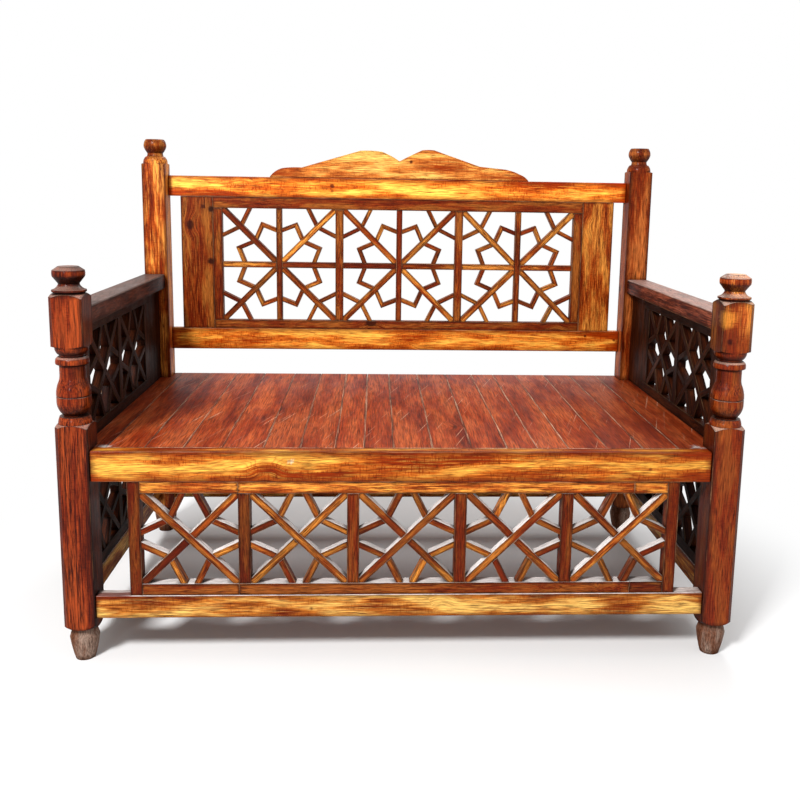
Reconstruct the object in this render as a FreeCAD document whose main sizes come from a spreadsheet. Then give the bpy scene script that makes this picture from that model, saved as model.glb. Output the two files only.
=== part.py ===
import FreeCAD, Part
import math
import os
from types import SimpleNamespace

import Sketcher
from FreeCAD import Rotation, Vector

# A takht: a wide wooden bench with four turned posts, a boarded seat, panels of joined
# strips under the seat and the arms, and a back with three eight-pointed stars.
# The origin lies on the floor under the middle of the bench. X runs along the seat,
# Y from the front to the back, Z up. Lengths are in millimetres.

SIZES = {
    # The whole bench, over its posts
    "bench_width": 1406,
    "bench_depth": 796,
    "seat_top": 455,
    "arm_top": 742,
    "back_top": 1009,
    # Square stock of the posts
    "front_post_side": 66,
    "front_post_chamfer": 8,
    "rear_post_side": 62,
    "rear_post_inset": 8,
    "rear_post_top": 1058,
    "post_arris": 2,
    # Dome that ends a rear post
    "rear_shoulder_drop": 24,
    "rear_dome_radius": 32,
    "rear_dome_height": 18,
    "rear_dome_top_radius": 25,
    "rear_dome_swell": 2.2,
    # Turned stretch of the front posts, from the lower block up to the upper one
    "low_block_rise": 53,
    "high_block_drop": 40.5,
    "high_block_rise": 29,
    "low_shoulder_drop": 18,
    "high_shoulder_rise": 12,
    "top_shoulder_drop": 22,
    "low_ring_base": 32.5,
    "low_ring_top": 29,
    "low_ring_height": 15,
    "low_ring_swell": 0.8,
    "vase_foot_radius": 21.5,
    "vase_quirk_height": 2.5,
    "vase_foot_share": 0.26,
    "vase_foot_swell": 2.8,
    "vase_radius": 33.6,
    "vase_belly_share": 0.388,
    "vase_waist_radius": 29.3,
    "vase_waist_share": 0.647,
    "vase_waist_swell": 1.2,
    "vase_neck_radius": 25.6,
    "vase_neck_share": 0.806,
    "vase_cove": 0.9,
    "line_depth": 1.3,
    "line_width": 3,
    "bead_height": 18.5,
    "bead_radius": 32.3,
    "bead_top_radius": 31.3,
    "bead_lip_radius": 27.5,
    "bead_bevel_height": 3.8,
    "bead_swell": 0.8,
    "cove_radius": 24.5,
    "cove_height": 5,
    "bell_base_radius": 27.5,
    "bell_height": 14.5,
    "bell_swell": 1.5,
    # Lower end of every post and its foot
    "foot_height": 70,
    "foot_end_rise": 16,
    "foot_end_swell": 3,
    "foot_tip_radius": 20,
    "foot_radius": 30,
    "foot_belly_height": 49,
    "foot_belly_swell": 1,
    "foot_neck_radius": 26,
    "foot_neck_height": 63,
    # Knob and collar on a front post
    "finial_seat_radius": 30,
    "finial_seat_height": 1.5,
    "collar_radius": 33,
    "collar_lip_height": 2,
    "collar_band_height": 4,
    "collar_band_swell": 0.4,
    "collar_slope_height": 10.5,
    "collar_cove": 2,
    "knob_neck_radius": 20.5,
    "knob_neck_height": 2,
    "knob_radius": 30.8,
    "knob_flare_height": 13.5,
    "knob_band_height": 12.5,
    "knob_band_swell": 0.8,
    "knob_bevel_height": 7.5,
    "knob_top_radius": 19.8,
    # Knob on a rear post
    "rear_knob_base": 22.5,
    "rear_knob_neck": 20.5,
    "rear_knob_neck_height": 9.5,
    "rear_knob_cove": 0.8,
    "rear_knob_radius": 29.7,
    "rear_knob_belly_height": 17.5,
    "rear_knob_belly_swell": 1.2,
    "rear_knob_crown_height": 18.5,
    "rear_knob_crown_swell": 1.8,
    "rear_knob_top_radius": 23.8,
    # Rails between the posts
    "rail_thick": 30,
    "rail_recess": 6,
    "side_rail_thick": 26,
    "seat_rail_height": 64,
    "stretcher_bottom": 97,
    "stretcher_height": 49,
    # Seat boards and what carries them
    "board_thick": 18,
    "board_gap": 0.6,
    "notch_clearance": 0.5,
    "ledger_height": 25,
    "ledger_thick": 25,
    "bearer_width": 40,
    # Arm rails
    "arm_width": 60,
    "arm_thick": 37,
    "arm_round": 5,
    # Rails and crest of the back
    "back_rail_thick": 24,
    "back_rail_recess": 2,
    "back_top_rail_height": 55,
    "back_low_rail_rise": 75,
    "back_low_rail_height": 59,
    "crest_half_width": 358,
    "crest_height": 81,
    # Panels: frames of stiles and rails with strips set between them
    "panel_thick": 22,
    "front_panel_thick": 27,
    "panel_recess": 2,
    "strip_recess": 1,
    "strip_depth": 20,
    "strip_width": 16,
    "short_strip_width": 13.5,
    "front_panel_gap": 67,
    "front_panel_shift": 4,
    "front_stile": 25,
    "low_panel_rail": 25,
    "side_front_stile": 43,
    "side_rear_stile": 43,
    "side_wide_stile": 121,
    "side_divider": 25,
    "arm_panel_rail": 25.5,
    "back_panel_gap": 32,
    "back_wide_stile": 87,
    "back_stile": 25,
    "back_divider": 22,
    "back_panel_low_rail": 24,
    "back_panel_top_rail": 31,
    "zigzag_width": 12,
    "corner_strip_width": 11.5,
    # Places of the strips, as shares of half a bay
    "short_node_share": 0.42,
    "short_end_share": 0.14,
    "star_node_share": 0.6,
    "star_tip_share": 0.775,
    "corner_node_share": 0.68,
    "corner_end_share": 0.52,
}
# Relative widths of the seat boards, from left to right
BOARD_WIDTH_SHARES = (57, 77, 79, 78, 85, 75, 72, 60, 61, 81, 82, 75, 63, 65, 83, 76, 76, 93)
# Where the two bearers cross the seat, between the front and the rear posts
BEARER_SHARES = (0.333, 0.667)
# Where the rails of the front panel are pieced together, along their length
SPLICE_SHARES = (0.182, 0.935)
# In these bays of the front panel the diagonal that falls to the right is the whole one
TURNED_BAYS = (0, 1)
# The crest, as shares of its half width and height: places, then swell. It is sawn by eye.
CREST_SHARES = (
    (-1, 0, 0.05),
    (1, 0, 0),
    (0.93, 0.225, 0.03),
    (0.818, 0.385, 0.02),
    (0.615, 0.47, 0),
    (0.26, 0.99, 0),
    (0.17, 0.985, 0.012),
    (-0.005, 0.6, 0.01),
    (-0.142, 0.91, 0.025),
    (-0.307, 0.93, 0.02),
    (-0.754, 0.34, 0),
    (-0.9, 0.31, 0.015),
)
# How far a strip runs on before it is trimmed to its bay, as a share of its length
OVERRUN_SHARE = 1.3
# A star's rays and tips stand on these angles
EIGHTH_TURN = math.radians(45)
SIXTEENTH_TURN = math.radians(22.5)
FRONT_BAYS = 5
SIDE_BAYS = 2
BACK_BAYS = 3

doc = FreeCAD.newDocument("takht")
parts = {}


class Dim:
    """A size with the formula that ties it to the sheet, so that features can follow it."""

    def __init__(self, value, formula=None):
        self.value = value
        self.formula = formula or f"({value})"

    def __add__(self, other):
        other = as_dim(other)
        return Dim(self.value + other.value, f"({self.formula} + {other.formula})")

    def __sub__(self, other):
        other = as_dim(other)
        return Dim(self.value - other.value, f"({self.formula} - {other.formula})")

    def __mul__(self, other):
        other = as_dim(other)
        return Dim(self.value * other.value, f"({self.formula} * {other.formula})")

    def __truediv__(self, other):
        other = as_dim(other)
        return Dim(self.value / other.value, f"({self.formula} / {other.formula})")

    def __neg__(self):
        return Dim(-self.value, f"(-1 * {self.formula})")

    def root(self):
        return Dim(math.sqrt(self.value), f"sqrt({self.formula})")


def as_dim(number):
    """Give a plain number the same form as a size."""
    return number if isinstance(number, Dim) else Dim(number)


def make_sheet():
    """Write the driving dimensions into the sheet, one aliased cell each."""
    sheet = doc.addObject("Spreadsheet::Sheet", "sizes")
    for row, (alias, number) in enumerate(SIZES.items(), start=1):
        sheet.set(f"A{row}", alias)
        sheet.set(f"B{row}", str(number))
        sheet.setAlias(f"B{row}", alias)
    doc.recompute()
    return SimpleNamespace(**{alias: Dim(number, f"sizes.{alias}") for alias, number in SIZES.items()})


dims = make_sheet()

# Lines that several pieces share
right_face = dims.bench_width / 2
rear_face = dims.bench_depth / 2
front_face = -rear_face
front_post_x = right_face - dims.front_post_side / 2
front_post_y = front_face + dims.front_post_side / 2
side_outer = right_face - dims.rear_post_inset
rear_post_x = side_outer - dims.rear_post_side / 2
rear_post_y = rear_face - dims.rear_post_side / 2
side_inner = side_outer - dims.side_rail_thick
front_clear = right_face - dims.front_post_side
rear_clear = side_outer - dims.rear_post_side
side_front = front_face + dims.front_post_side
side_rear = rear_face - dims.rear_post_side
side_run = side_rear - side_front
front_rail_y = front_face + dims.rail_recess
rear_rail_y = rear_face - dims.rail_recess - dims.rail_thick
back_rail_y = rear_face - dims.back_rail_recess - dims.back_rail_thick
seat_bottom = dims.seat_top - dims.seat_rail_height
board_bottom = dims.seat_top - dims.board_thick
stretcher_top = dims.stretcher_bottom + dims.stretcher_height
arm_bottom = dims.arm_top - dims.arm_thick
low_block_top = dims.seat_top + dims.low_block_rise
high_block_bottom = arm_bottom - dims.high_block_drop
high_block_top = dims.arm_top + dims.high_block_rise
back_top_rail_bottom = dims.back_top - dims.back_top_rail_height
back_low_rail_bottom = dims.seat_top + dims.back_low_rail_rise
back_low_rail_top = back_low_rail_bottom + dims.back_low_rail_height


def bind(item, target, dim):
    """Tie one property to its formula. A plain zero is what a new object has already."""
    if isinstance(dim, Dim):
        item.setExpression(target, dim.formula)


def place(item, x, y, z):
    """Tie the place of an object to the sheet."""
    bind(item, "Placement.Base.x", x)
    bind(item, "Placement.Base.y", y)
    bind(item, "Placement.Base.z", z)


def keep(label, item):
    """List an object as a sub-part under its own label."""
    item.Label = label
    parts[label] = item
    return item


def box(name, corner, size):
    """A squared piece of wood from its low corner and its size along X, Y and Z."""
    item = doc.addObject("Part::Box", name)
    for target, dim in zip(("Length", "Width", "Height"), size):
        bind(item, target, dim)
    place(item, *corner)
    return item


def pair(name, corner, size):
    """Keep a squared piece and its twin on the other side of the bench."""
    x, y, z = corner
    keep(f"{name}_right", box(f"{name}_right", (x, y, z), size))
    keep(f"{name}_left", box(f"{name}_left", (-x - size[0], y, z), size))


def compound(name, members):
    """Hold several solids that touch as one object."""
    item = doc.addObject("Part::Compound", name)
    item.Links = members
    return item


def boolean(kind, name, base, tool):
    """Cut one object with another, or keep what the two have in common."""
    item = doc.addObject(f"Part::{kind}", name)
    item.Base = base
    item.Tool = tool
    return item


def mirrored(name, source, normal):
    """Mirror an object in a plane through the middle of its bay."""
    item = doc.addObject("Part::Mirroring", name)
    item.Source = source
    item.Normal = normal
    return item


def sketch_on(body, role, name):
    """Start a sketch on one of the body's own origin planes."""
    plane = next(item for item in body.Origin.OriginFeatures if item.Role == role)
    sketch = body.newObject("Sketcher::SketchObject", name)
    sketch.AttachmentSupport = [(plane, "")]
    sketch.MapMode = "FlatFace"
    return sketch


def pin(sketch, kind, edge, end, dim):
    """Hold one coordinate of a point at its size."""
    dim = as_dim(dim)
    number = sketch.addConstraint(Sketcher.Constraint(kind, -1, 1, edge, end, dim.value))
    sketch.setExpression(f"Constraints[{number}]", dim.formula)


def draw_outline(sketch, outline):
    """Draw a closed outline of lines and arcs.

    Each point gives its two coordinates and, where an arc leads to it, how far the arc
    swells to the right of the way there.
    """
    points = [tuple(as_dim(number) for number in point) for point in outline]
    edges = []
    for before, point in zip(points[-1:] + points[:-1], points):
        start = Vector(before[0].value, before[1].value, 0)
        end = Vector(point[0].value, point[1].value, 0)
        if len(point) == 2 or point[2].value == 0:
            edge = sketch.addGeometry(Part.LineSegment(start, end))
        else:
            swell = point[2]
            chord = end - start
            outward = Vector(chord.y, -chord.x, 0).normalize()
            crown = (start + end) / 2 + outward * swell.value
            edge = sketch.addGeometry(Part.Arc(start, crown, end))
            run = point[0] - before[0]
            rise = point[1] - before[1]
            reach = (run * run + rise * rise) / 4 + swell * swell
            radius = reach / (-swell if swell.value < 0 else swell) / 2
            number = sketch.addConstraint(Sketcher.Constraint("Radius", edge, radius.value))
            sketch.setExpression(f"Constraints[{number}]", radius.formula)
        ends = (1, 2) if sketch.getPoint(edge, 1).isEqual(start, Part.Precision.confusion()) else (2, 1)
        pin(sketch, "DistanceX", edge, ends[1], point[0])
        pin(sketch, "DistanceY", edge, ends[1], point[1])
        edges.append((edge, ends))
    for (before, before_ends), (edge, ends) in zip(edges[-1:] + edges[:-1], edges):
        sketch.addConstraint(Sketcher.Constraint("Coincident", before, before_ends[1], edge, ends[0]))


def padded(body, name, role, outline, length, offset=0, centred=False):
    """Pad an outline into a solid."""
    sketch = sketch_on(body, role, f"{name}_outline")
    draw_outline(sketch, outline)
    bind(sketch, "AttachmentOffset.Base.z", offset)
    pad = body.newObject("PartDesign::Pad", name)
    pad.Profile = sketch
    pad.Midplane = centred
    bind(pad, "Length", length)
    return pad


def turned(name, kind, body, outline):
    """Turn an outline about the upright axis: Revolution adds wood and Groove takes it off."""
    sketch = sketch_on(body, "XZ_Plane", f"{name}_outline")
    draw_outline(sketch, outline)
    feature = body.newObject(f"PartDesign::{kind}", name)
    feature.Profile = sketch
    feature.ReferenceAxis = (sketch, ["V_Axis"])
    feature.Angle = 360
    return feature


def square_post(label, side, cuts, top):
    """The squared blank of a post, standing on its foot, with its lower end turned down.

    The cuts are how far its corners are planed back: front left, front right, rear right, rear left.
    """
    body = keep(label, doc.addObject("PartDesign::Body", label))
    half = side / 2
    outline = []
    for (across, along), cut in zip(((-1, -1), (1, -1), (1, 1), (-1, 1)), cuts):
        near = half - cut
        ends = [(half * across, near * along), (near * across, half * along)]
        outline += ends if across == along else reversed(ends)
    padded(body, f"{label}_blank", "XY_Plane", outline, top - dims.foot_height, dims.foot_height)
    end_top = dims.foot_height + dims.foot_end_rise
    turned(f"{label}_end", "Groove", body, [
        (dims.foot_neck_radius, dims.foot_height),
        (side * math.sqrt(0.5), end_top, dims.foot_end_swell),
        (side, end_top),
        (side, dims.foot_height),
    ])
    return body


def front_post(label, x, cuts):
    """A front post: two square blocks with rings, a vase and a bell turned between them."""
    side = dims.front_post_side
    body = square_post(label, side, cuts, high_block_top)
    low_ring_top = low_block_top + dims.low_ring_height
    vase_bottom = low_ring_top + dims.vase_quirk_height
    cove_top = high_block_bottom - dims.bell_height
    cove_bottom = cove_top - dims.cove_height
    vase_top = cove_bottom - dims.bead_height
    vase_height = vase_top - vase_bottom
    belly = vase_bottom + vase_height * dims.vase_belly_share
    half_line = dims.line_width / 2
    turned(f"{label}_turning", "Groove", body, [
        (side, low_block_top - dims.low_shoulder_drop),
        (dims.low_ring_base, low_block_top),
        (dims.low_ring_top, low_ring_top, dims.low_ring_swell),
        (dims.vase_foot_radius, low_ring_top),
        (dims.vase_foot_radius, vase_bottom),
        (dims.vase_radius, vase_bottom + vase_height * dims.vase_foot_share, dims.vase_foot_swell),
        (dims.vase_radius, belly - half_line),
        (dims.vase_radius - dims.line_depth, belly),
        (dims.vase_radius, belly + half_line),
        (dims.vase_waist_radius, vase_bottom + vase_height * dims.vase_waist_share, dims.vase_waist_swell),
        (dims.vase_neck_radius, vase_bottom + vase_height * dims.vase_neck_share, -dims.vase_cove),
        (dims.vase_neck_radius, vase_top),
        (dims.bead_radius, vase_top + dims.bead_bevel_height),
        (dims.bead_top_radius, cove_bottom - dims.bead_bevel_height, dims.bead_swell),
        (dims.bead_lip_radius, cove_bottom),
        (dims.cove_radius, cove_bottom),
        (dims.cove_radius, cove_top),
        (dims.bell_base_radius, cove_top),
        (side / 2, high_block_bottom, dims.bell_swell),
        (side, high_block_bottom + dims.high_shoulder_rise),
    ])
    turned(f"{label}_top", "Groove", body, [
        (side, high_block_top - dims.top_shoulder_drop),
        (dims.collar_radius, high_block_top),
        (side, high_block_top),
    ])
    place(body, x, front_post_y, 0)


def rear_post(label, x):
    """A rear post: square up to the dome under its knob."""
    side = dims.rear_post_side
    top = dims.rear_post_top
    body = square_post(label, side, (dims.post_arris,) * 4, top)
    turned(f"{label}_dome", "Groove", body, [
        (side, top - dims.rear_shoulder_drop),
        (dims.rear_dome_radius, top - dims.rear_dome_height),
        (dims.rear_dome_top_radius, top, dims.rear_dome_swell),
        (side, top),
    ])
    place(body, x, rear_post_y, 0)


def turning(label, x, y, z, outline):
    """A separate turned piece that stands on the axis of a post."""
    body = keep(label, doc.addObject("PartDesign::Body", label))
    turned(f"{label}_turning", "Revolution", body, outline)
    place(body, x, y, z)


def front_finial(label, x):
    """The knob of a front post, on its flared collar."""
    lip = dims.finial_seat_height + dims.collar_lip_height
    slope = lip + dims.collar_band_height
    neck = slope + dims.collar_slope_height
    flare = neck + dims.knob_neck_height
    band = flare + dims.knob_flare_height
    shoulder = band + dims.knob_band_height
    top = shoulder + dims.knob_bevel_height
    turning(label, x, front_post_y, high_block_top, [
        (0, 0),
        (dims.finial_seat_radius, 0),
        (dims.finial_seat_radius, dims.finial_seat_height),
        (dims.collar_radius, lip),
        (dims.collar_radius, slope, dims.collar_band_swell),
        (dims.knob_neck_radius, neck, -dims.collar_cove),
        (dims.knob_neck_radius, flare),
        (dims.knob_radius, band),
        (dims.knob_radius, shoulder, dims.knob_band_swell),
        (dims.knob_top_radius, top),
        (0, top),
    ])


def rear_finial(label, x):
    """The flattened ball on a rear post."""
    belly = dims.rear_knob_neck_height + dims.rear_knob_belly_height
    top = belly + dims.rear_knob_crown_height
    turning(label, x, rear_post_y, dims.rear_post_top, [
        (0, 0),
        (dims.rear_knob_base, 0),
        (dims.rear_knob_neck, dims.rear_knob_neck_height, -dims.rear_knob_cove),
        (dims.rear_knob_radius, belly, dims.rear_knob_belly_swell),
        (dims.rear_knob_top_radius, top, dims.rear_knob_crown_swell),
        (0, top),
    ])


def foot(label, x, y):
    """The tapered foot that every post stands on."""
    turning(label, x, y, 0, [
        (0, 0),
        (dims.foot_tip_radius, 0),
        (dims.foot_radius, dims.foot_belly_height, dims.foot_belly_swell),
        (dims.foot_neck_radius, dims.foot_neck_height),
        (dims.foot_neck_radius, dims.foot_height),
        (0, dims.foot_height),
    ])


def make_posts():
    """All four posts with their knobs and feet."""
    arris = dims.post_arris
    left_cuts = (dims.front_post_chamfer, arris, arris, arris)
    right_cuts = (arris, dims.front_post_chamfer, arris, arris)
    for name, mirror, cuts in (("left", -1, left_cuts), ("right", 1, right_cuts)):
        front_post(f"post_front_{name}", front_post_x * mirror, cuts)
        rear_post(f"post_rear_{name}", rear_post_x * mirror)
        front_finial(f"finial_front_{name}", front_post_x * mirror)
        rear_finial(f"finial_rear_{name}", rear_post_x * mirror)
        foot(f"foot_front_{name}", front_post_x * mirror, front_post_y)
        foot(f"foot_rear_{name}", rear_post_x * mirror, rear_post_y)


def rail_between_posts(label, half, y, z, thick, height):
    """A rail along the bench, centred between two posts."""
    keep(label, box(label, (-half, y, z), (half * 2, thick, height)))


def make_rails():
    """The seat rails and, near the floor, the stretchers."""
    low = dims.stretcher_bottom
    tall = dims.stretcher_height
    rail_between_posts("seat_rail_front", front_clear, front_rail_y, seat_bottom,
                       dims.rail_thick, dims.seat_rail_height)
    rail_between_posts("seat_rail_rear", rear_clear, rear_rail_y, seat_bottom,
                       dims.rail_thick, board_bottom - seat_bottom)
    rail_between_posts("stretcher_front", front_clear, front_rail_y, low, dims.rail_thick, tall)
    rail_between_posts("stretcher_rear", rear_clear, rear_rail_y, low, dims.rail_thick, tall)
    pair("seat_rail", (side_inner, side_front, seat_bottom),
         (dims.side_rail_thick, side_run, dims.seat_rail_height))
    pair("stretcher", (side_inner, side_front, low), (dims.side_rail_thick, side_run, tall))


def post_notch(name, inner, y, side, z):
    """The space that a post needs in an outer seat board, on the left."""
    spare = dims.notch_clearance
    reach = side_inner - inner + spare
    return box(name, (-side_inner, y - spare, z), (reach, side + spare * 2, dims.board_thick))


def seat_board(number, start_share, end_share):
    """One board between two seams, which lie at shares of the seat's width."""
    left = side_inner * (start_share * 2 - 1)
    width = side_inner * ((end_share - start_share) * 2) - dims.board_gap
    front = front_rail_y + dims.rail_thick
    corner = (left + dims.board_gap / 2, front, board_bottom)
    return box(f"seat_board_{number:02d}", corner, (width, rear_face - front, dims.board_thick))


def make_seat():
    """The seat boards, the outer two notched round the posts, and the wood under them."""
    notches = [
        post_notch("front_notch", front_clear, front_face, dims.front_post_side, board_bottom),
        post_notch("rear_notch", rear_clear, side_rear, dims.rear_post_side, board_bottom),
    ]
    left_notches = compound("left_notches", notches)
    corner_spaces = {1: left_notches, len(BOARD_WIDTH_SHARES): mirrored("right_notches", left_notches, (1, 0, 0))}
    whole = sum(BOARD_WIDTH_SHARES)
    for number in range(1, len(BOARD_WIDTH_SHARES) + 1):
        seams = (sum(BOARD_WIDTH_SHARES[:number - 1]) / whole, sum(BOARD_WIDTH_SHARES[:number]) / whole)
        board = seat_board(number, *seams)
        if number in corner_spaces:
            board.Label = f"blank_{number:02d}"
            board = boolean("Cut", f"notched_{number:02d}", board, corner_spaces[number])
        keep(f"seat_board_{number:02d}", board)
    under = board_bottom - dims.ledger_height
    rail_between_posts("seat_ledger_front", front_clear, front_rail_y + dims.rail_thick, under,
                       dims.ledger_thick, dims.ledger_height)
    for name, share in zip(("front", "rear"), BEARER_SHARES):
        y = side_front + side_run * share - dims.bearer_width / 2
        rail_between_posts(f"seat_bearer_{name}", side_inner, y, under, dims.bearer_width, dims.ledger_height)


def make_arms():
    """The arm rails, rounded along their upper edges."""
    half = dims.arm_width / 2
    flat = half - dims.arm_round
    wall = dims.arm_thick - dims.arm_round
    swell = dims.arm_round * (1 - math.sqrt(0.5))
    outline = [
        (-half, 0),
        (half, 0),
        (half, wall),
        (flat, dims.arm_thick, swell),
        (-flat, dims.arm_thick),
        (-half, wall, swell),
    ]
    for name, mirror in (("left", -1), ("right", 1)):
        label = f"arm_rail_{name}"
        body = keep(label, doc.addObject("PartDesign::Body", label))
        padded(body, f"{label}_pad", "XZ_Plane", outline, side_run, centred=True)
        place(body, front_post_x * mirror, side_front + side_run / 2, arm_bottom)


def make_back_rails():
    """The two rails of the back, and the crest that stands on the upper one."""
    rail_between_posts("back_rail_top", rear_clear, back_rail_y, back_top_rail_bottom,
                       dims.back_rail_thick, dims.back_top_rail_height)
    rail_between_posts("back_rail_low", rear_clear, back_rail_y, back_low_rail_bottom,
                       dims.back_rail_thick, dims.back_low_rail_height)
    body = keep("back_crest", doc.addObject("PartDesign::Body", "back_crest"))
    outline = [
        (dims.crest_half_width * across, dims.crest_height * up, dims.crest_height * swell)
        for across, up, swell in CREST_SHARES
    ]
    padded(body, "crest_board", "XZ_Plane", outline, dims.back_rail_thick, centred=True)
    place(body, 0, back_rail_y + dims.back_rail_thick / 2, dims.back_top)


def strip(name, start, end, width, stretch):
    """A strip on edge, centred on the line from start and run on past its end."""
    start = [as_dim(number) for number in start]
    run = end[0] - start[0]
    rise = end[1] - start[1]
    length = (run * run + rise * rise).root()
    item = doc.addObject("Part::Box", name)
    bind(item, "Length", length * stretch)
    bind(item, "Width", dims.strip_depth)
    bind(item, "Height", width)
    aside = width / length / 2
    turn_in_bay(item, run, rise)
    place(item, start[0] + aside * rise, -dims.strip_depth / 2, start[1] - aside * run)
    return item


def turn_in_bay(item, run, rise, back=""):
    """Turn a box that lies along X so that it climbs as the run and the rise say."""
    item.Placement = FreeCAD.Placement(Vector(), Rotation(Vector(0, -1, 0), 1))
    item.setExpression("Placement.Rotation.Angle", f"atan2({rise.formula}; {run.formula}){back}")


def side_of_ray(name, tip, reach, back):
    """A block on one side of the ray through a star's tip, for the mitre there."""
    item = doc.addObject("Part::Box", name)
    bind(item, "Length", reach)
    bind(item, "Width", dims.strip_depth)
    bind(item, "Height", reach)
    turn_in_bay(item, tip[0], tip[1], back)
    place(item, 0, -dims.strip_depth / 2, 0)
    return item


def bay_opening(name, half_width, half_height):
    """The space of one bay, centred on the origin."""
    depth = dims.strip_depth
    return box(name, (-half_width, -depth / 2, -half_height), (half_width * 2, depth, half_height * 2))


def four_ways(name, quadrant):
    """A quarter of a bay with its three mirror images."""
    beside = mirrored(f"{name}_beside", quadrant, (1, 0, 0))
    upper = compound(f"{name}_upper", [quadrant, beside])
    lower = mirrored(f"{name}_lower", upper, (0, 0, 1))
    return [upper, lower]


def cross_bay(name, half_width, half_height):
    """A bay crossed by two diagonals, each with four short strips out to the frame."""
    opening = bay_opening(f"{name}_opening", half_width, half_height)
    corner = (half_width, half_height)
    rising = []
    for way in (1, -1):
        start = (-half_width * way * OVERRUN_SHARE, -half_height * OVERRUN_SHARE)
        end = (half_width * way, half_height)
        whole = strip(f"{name}_run_{len(rising)}", start, end, dims.strip_width, OVERRUN_SHARE)
        rising.append(boolean("Common", f"{name}_diagonal_{len(rising)}", whole, opening))
    halved = boolean("Cut", f"{name}_halved", rising[1], rising[0])
    node = (corner[0] * dims.short_node_share, corner[1] * dims.short_node_share)
    ends = (
        (half_width, half_height * dims.short_end_share),
        (half_width * dims.short_end_share, half_height),
    )
    quadrant = []
    for number, end in enumerate(ends):
        whole = strip(f"{name}_short_{number}", node, end, dims.short_strip_width, OVERRUN_SHARE)
        inside = boolean("Common", f"{name}_short_in_{number}", whole, opening)
        quadrant.append(boolean("Cut", f"{name}_short_cut_{number}", inside, rising[0]))
    quarters = four_ways(name, compound(f"{name}_quarter", quadrant))
    return compound(name, [rising[0], halved] + quarters)


def star_bay(name, half_width, half_height):
    """A bay with eight rays, a zigzag round them that makes the star, and corner strips."""
    opening = bay_opening(f"{name}_opening", half_width, half_height)
    half_bar = dims.strip_width / 2
    depth = dims.strip_depth

    def at(share, angle):
        return (half_width * share * math.cos(angle), half_height * share * math.sin(angle))

    upright = box(f"{name}_upright", (-half_bar, -depth / 2, -half_height),
                  (dims.strip_width, depth, half_height * 2))
    level = box(f"{name}_level", (half_bar, -depth / 2, -half_bar),
                (half_width - half_bar, depth, dims.strip_width))
    corner = (half_width, half_height)
    whole = strip(f"{name}_ray_run", (0, 0), corner, dims.strip_width, OVERRUN_SHARE)
    ray = boolean("Common", f"{name}_ray_in", whole, opening)
    for number, bar in enumerate((upright, level)):
        ray = boolean("Cut", f"{name}_ray_{number}", ray, bar)
    quadrant = [ray]
    reach = half_width + half_height
    bars = (level, ray, upright)
    for sixteenth in (1, 3):
        tip = at(dims.star_tip_share, sixteenth * SIXTEENTH_TURN)
        for step, back in ((-1, " - 90 deg"), (1, "")):
            place_on = (sixteenth + step) // 2
            node = at(dims.star_node_share, place_on * EIGHTH_TURN)
            number = f"{sixteenth}_{place_on}"
            run = strip(f"{name}_zigzag_{number}", node, tip, dims.zigzag_width, OVERRUN_SHARE)
            near = side_of_ray(f"{name}_mitre_{number}", tip, reach, back)
            mitred = boolean("Common", f"{name}_mitred_{number}", run, near)
            quadrant.append(boolean("Cut", f"{name}_petal_{number}", mitred, bars[place_on]))
    node = (half_width * dims.corner_node_share, half_height * dims.corner_node_share)
    ends = (
        (half_width, half_height * dims.corner_end_share),
        (half_width * dims.corner_end_share, half_height),
    )
    for number, end in enumerate(ends):
        run = strip(f"{name}_corner_{number}", node, end, dims.corner_strip_width, OVERRUN_SHARE)
        inside = boolean("Common", f"{name}_corner_in_{number}", run, opening)
        quadrant.append(boolean("Cut", f"{name}_corner_cut_{number}", inside, ray))
    opposite = mirrored(f"{name}_level_left", level, (1, 0, 0))
    quarters = four_ways(name, compound(f"{name}_quarter", quadrant))
    return compound(name, [upright, level, opposite] + quarters)


class PanelPlan:
    """The layout of a panel: its size, its frame members and how many bays it has.

    The edges are the two stiles of full height, and the borders are the stiles inside them,
    between the rails; either border may be left out. The rails are the low one and the top one.
    """

    def __init__(self, width, height, thick, edges, borders, divider, rails, bays, splices=(), turned_bays=()):
        self.width = width
        self.height = height
        self.thick = thick
        self.edges = edges
        self.borders = borders
        self.divider = divider
        self.rails = rails
        self.bays = bays
        self.splices = splices
        self.turned_bays = turned_bays

    @property
    def bay_width(self):
        """The clear width of one bay."""
        taken = self.edges[0] + self.edges[1] + self.divider * (self.bays - 1)
        for border in filter(None, self.borders):
            taken = taken + border
        return (self.width - taken) / self.bays

    @property
    def bay_height(self):
        """The clear height of every bay."""
        return self.height - self.rails[0] - self.rails[1]

    @property
    def first_bay(self):
        """Where the first bay starts, from the middle of the panel."""
        start = self.edges[0] - self.width / 2
        return start + self.borders[0] if self.borders[0] else start


def panel_frame(label, plan):
    """Stiles, pieced rails and dividers, centred on the origin and standing on it."""
    thick = plan.thick
    y = -thick / 2
    half = plan.width / 2
    left, right = plan.edges
    low, top = plan.rails
    members = [
        box(f"{label}_stile_left", (-half, y, 0), (left, thick, plan.height)),
        box(f"{label}_stile_right", (half - right, y, 0), (right, thick, plan.height)),
    ]
    inner = plan.width - left - right
    seams = (0,) + plan.splices + (1,)
    for name, z, rail in (("low", 0, low), ("top", plan.height - top, top)):
        for number, (start, end) in enumerate(zip(seams, seams[1:])):
            corner = (left - half + inner * start, y, z)
            members.append(box(f"{label}_{name}_{number}", corner, (inner * (end - start), thick, rail)))
    x = left - half
    widths = plan.borders[:1] + (plan.divider,) * (plan.bays - 1) + plan.borders[1:]
    for number, width in enumerate(widths):
        if width:
            members.append(box(f"{label}_divider_{number}", (x, y, low), (width, thick, plan.bay_height)))
            x = x + width
        x = x + plan.bay_width
    return members


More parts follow.
